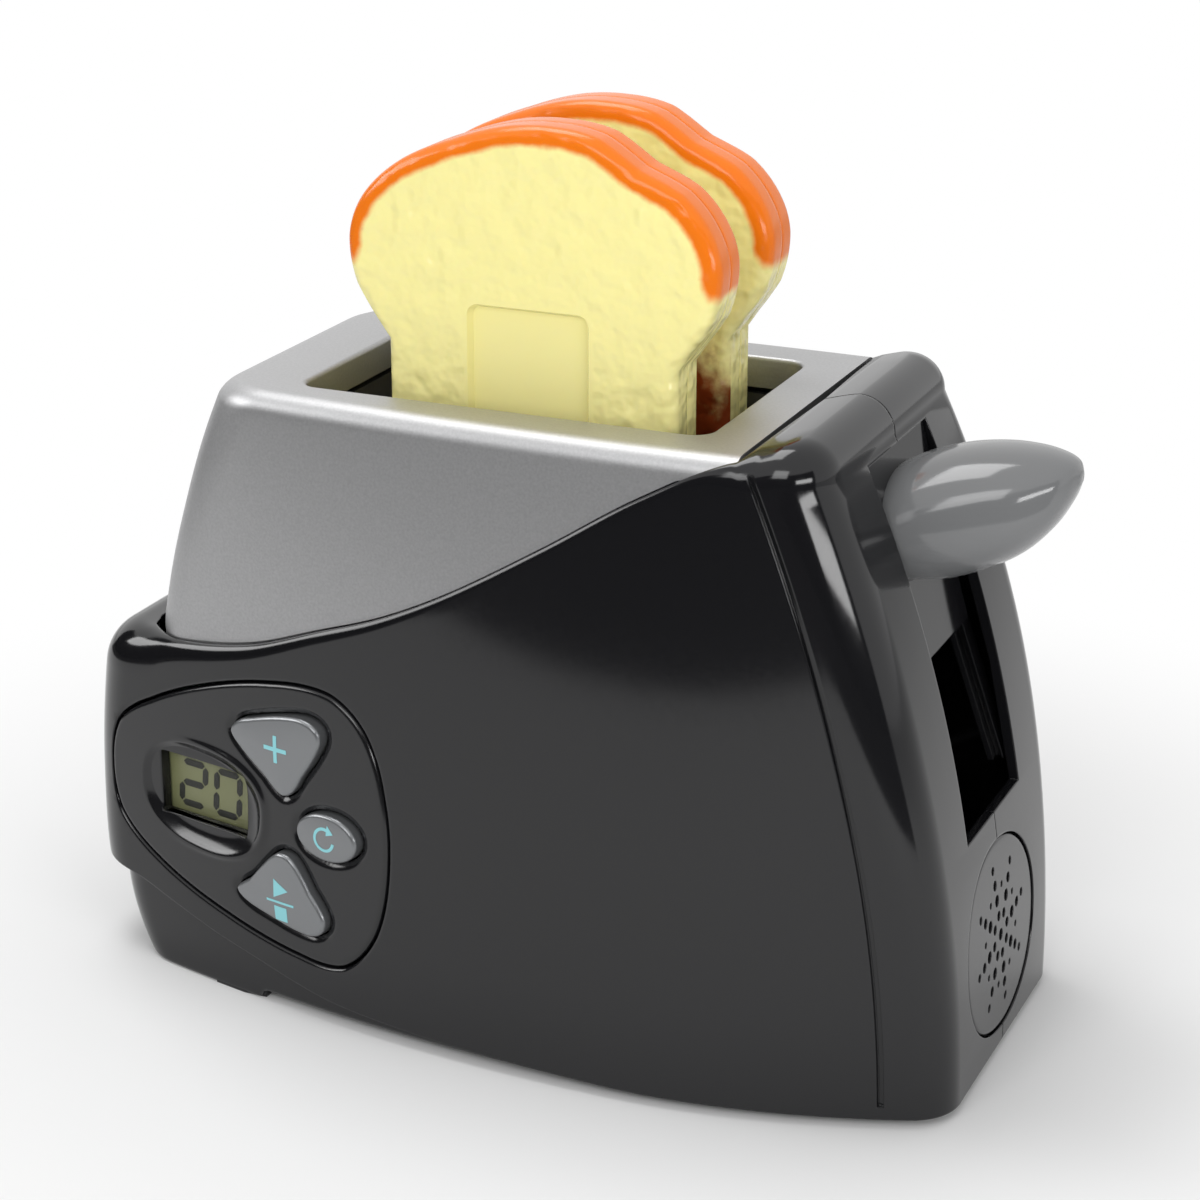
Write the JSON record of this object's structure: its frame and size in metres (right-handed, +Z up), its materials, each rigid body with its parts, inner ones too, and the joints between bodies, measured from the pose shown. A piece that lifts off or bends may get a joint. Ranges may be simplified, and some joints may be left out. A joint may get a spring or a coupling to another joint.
{
  "type": "toy_toaster",
  "caption": "Grey and black toy toaster with a silver upper shell, a side lever that lowers hollow slices of play bread, a control panel with a display and shaped keys, and a speaker grille.",
  "frame": {"origin": "middle of the overall box in plan, on the surface that the toaster stands on", "axes": "+X runs along the long side from the display end to the lever end, +Y from the control panel side to the back, +Z up"},
  "size_m": [0.2518, 0.1242, 0.2255],
  "materials": {
    "black_shell": "moulded black plastic with a soft gloss",
    "silver_shell": "metallic silver plastic",
    "screw_steel": "dark zinc",
    "pin_steel": "bright steel wire, rod and sheet",
    "clear_window": "clear thin plastic sheet",
    "display_olive": "olive liquid crystal display",
    "grey_button": "satin mid grey plastic",
    "grey_lever": "mid grey plastic with a soft gloss",
    "pad_rubber": "silicone pad",
    "board_green": "green circuit board",
    "speaker_dark": "dark paper cone in a steel basket",
    "dark_chamber": "dark grey matt plastic",
    "coil_copper": "copper winding on a dark spool",
    "battery_jacket": "plain dark jacket without marks",
    "bread_yellow": "pale yellow plastic with an orange airbrushed crust"
  },
  "bodies": {
    "housing": {"front_casing": "black_shell", "rear_casing": "black_shell", "upper_shell": "silver_shell", "lower_base": "black_shell", "casing_screw_1": "screw_steel", "casing_screw_2": "screw_steel", "casing_screw_3": "screw_steel", "casing_screw_4": "screw_steel", "base_screw_1": "screw_steel", "base_screw_2": "screw_steel", "base_screw_3": "screw_steel", "base_screw_4": "screw_steel", "control_panel": "black_shell", "lcd_bezel": "black_shell", "lcd_window": "clear_window", "lcd_display": "display_olive", "button_pad": "pad_rubber", "timer_board": "board_green", "speaker_grille": "black_shell", "speaker": "speaker_dark", "front_lever_rail": "black_shell", "rear_lever_rail": "black_shell", "toast_chamber": "dark_chamber", "guide_rod": "pin_steel", "return_spring": "pin_steel", "latch_pin": "pin_steel", "latch_magnet": "coil_copper", "battery_1": "battery_jacket", "battery_2": "battery_jacket", "contact_spring_plate": "pin_steel", "contact_plate": "pin_steel", "battery_door": "black_shell", "battery_door_screw": "screw_steel"},
    "carriage": {"bread_carriage": "black_shell"},
    "lever": {"lever_slider": "grey_lever", "lever_knob": "grey_lever", "lever_pin": "pin_steel"},
    "front_bread": {"front_bread_near_half": "bread_yellow", "front_bread_far_half": "bread_yellow"},
    "rear_bread": {"rear_bread_near_half": "bread_yellow", "rear_bread_far_half": "bread_yellow"},
    "add_key": {"add_button": "grey_button"},
    "reset_key": {"reset_button": "grey_button"},
    "start_key": {"start_button": "grey_button"},
    "latch": {"latch_hook": "dark_chamber"}
  },
  "joints": [
    {"name": "carriage_slide", "type": "slide", "parent": "housing", "child": "carriage", "axis": [0, 0, -1], "range_m": [0, 0.0384], "stiffness_N_per_m": 200, "springref_m": -0.03, "deforming": ["return_spring"]},
    {"name": "lever_slide", "type": "slide", "parent": "housing", "child": "lever", "axis": [0.3371, 0, -0.9415], "range_m": [0, 0.0408]},
    {"name": "front_bread_lift", "type": "slide", "parent": "carriage", "child": "front_bread", "axis": [0, 0, 1], "range_m": [0, 0.06]},
    {"name": "rear_bread_lift", "type": "slide", "parent": "carriage", "child": "rear_bread", "axis": [0, 0, 1], "range_m": [0, 0.06]},
    {"name": "add_press", "type": "slide", "parent": "housing", "child": "add_key", "axis": [0.1994, 0.9799, 0], "range_m": [0, 0.001], "stiffness_N_per_m": 300, "springref_m": -0.001},
    {"name": "reset_press", "type": "slide", "parent": "housing", "child": "reset_key", "axis": [0.1994, 0.9799, 0], "range_m": [0, 0.001], "stiffness_N_per_m": 300, "springref_m": -0.001},
    {"name": "start_press", "type": "slide", "parent": "housing", "child": "start_key", "axis": [0.1994, 0.9799, 0], "range_m": [0, 0.001], "stiffness_N_per_m": 300, "springref_m": -0.001},
    {"name": "latch_hinge", "type": "hinge", "parent": "housing", "child": "latch", "pos_m": [0.08915, 0, 0.026], "axis": [0, -1, 0], "range_deg": [0, 4.5], "stiffness_Nm_per_rad": 0.02, "springref_deg": -11.46}
  ],
  "couplings": [
    {"joint": "lever_slide", "follows": "carriage_slide", "ratio": 1.0622}
  ]
}
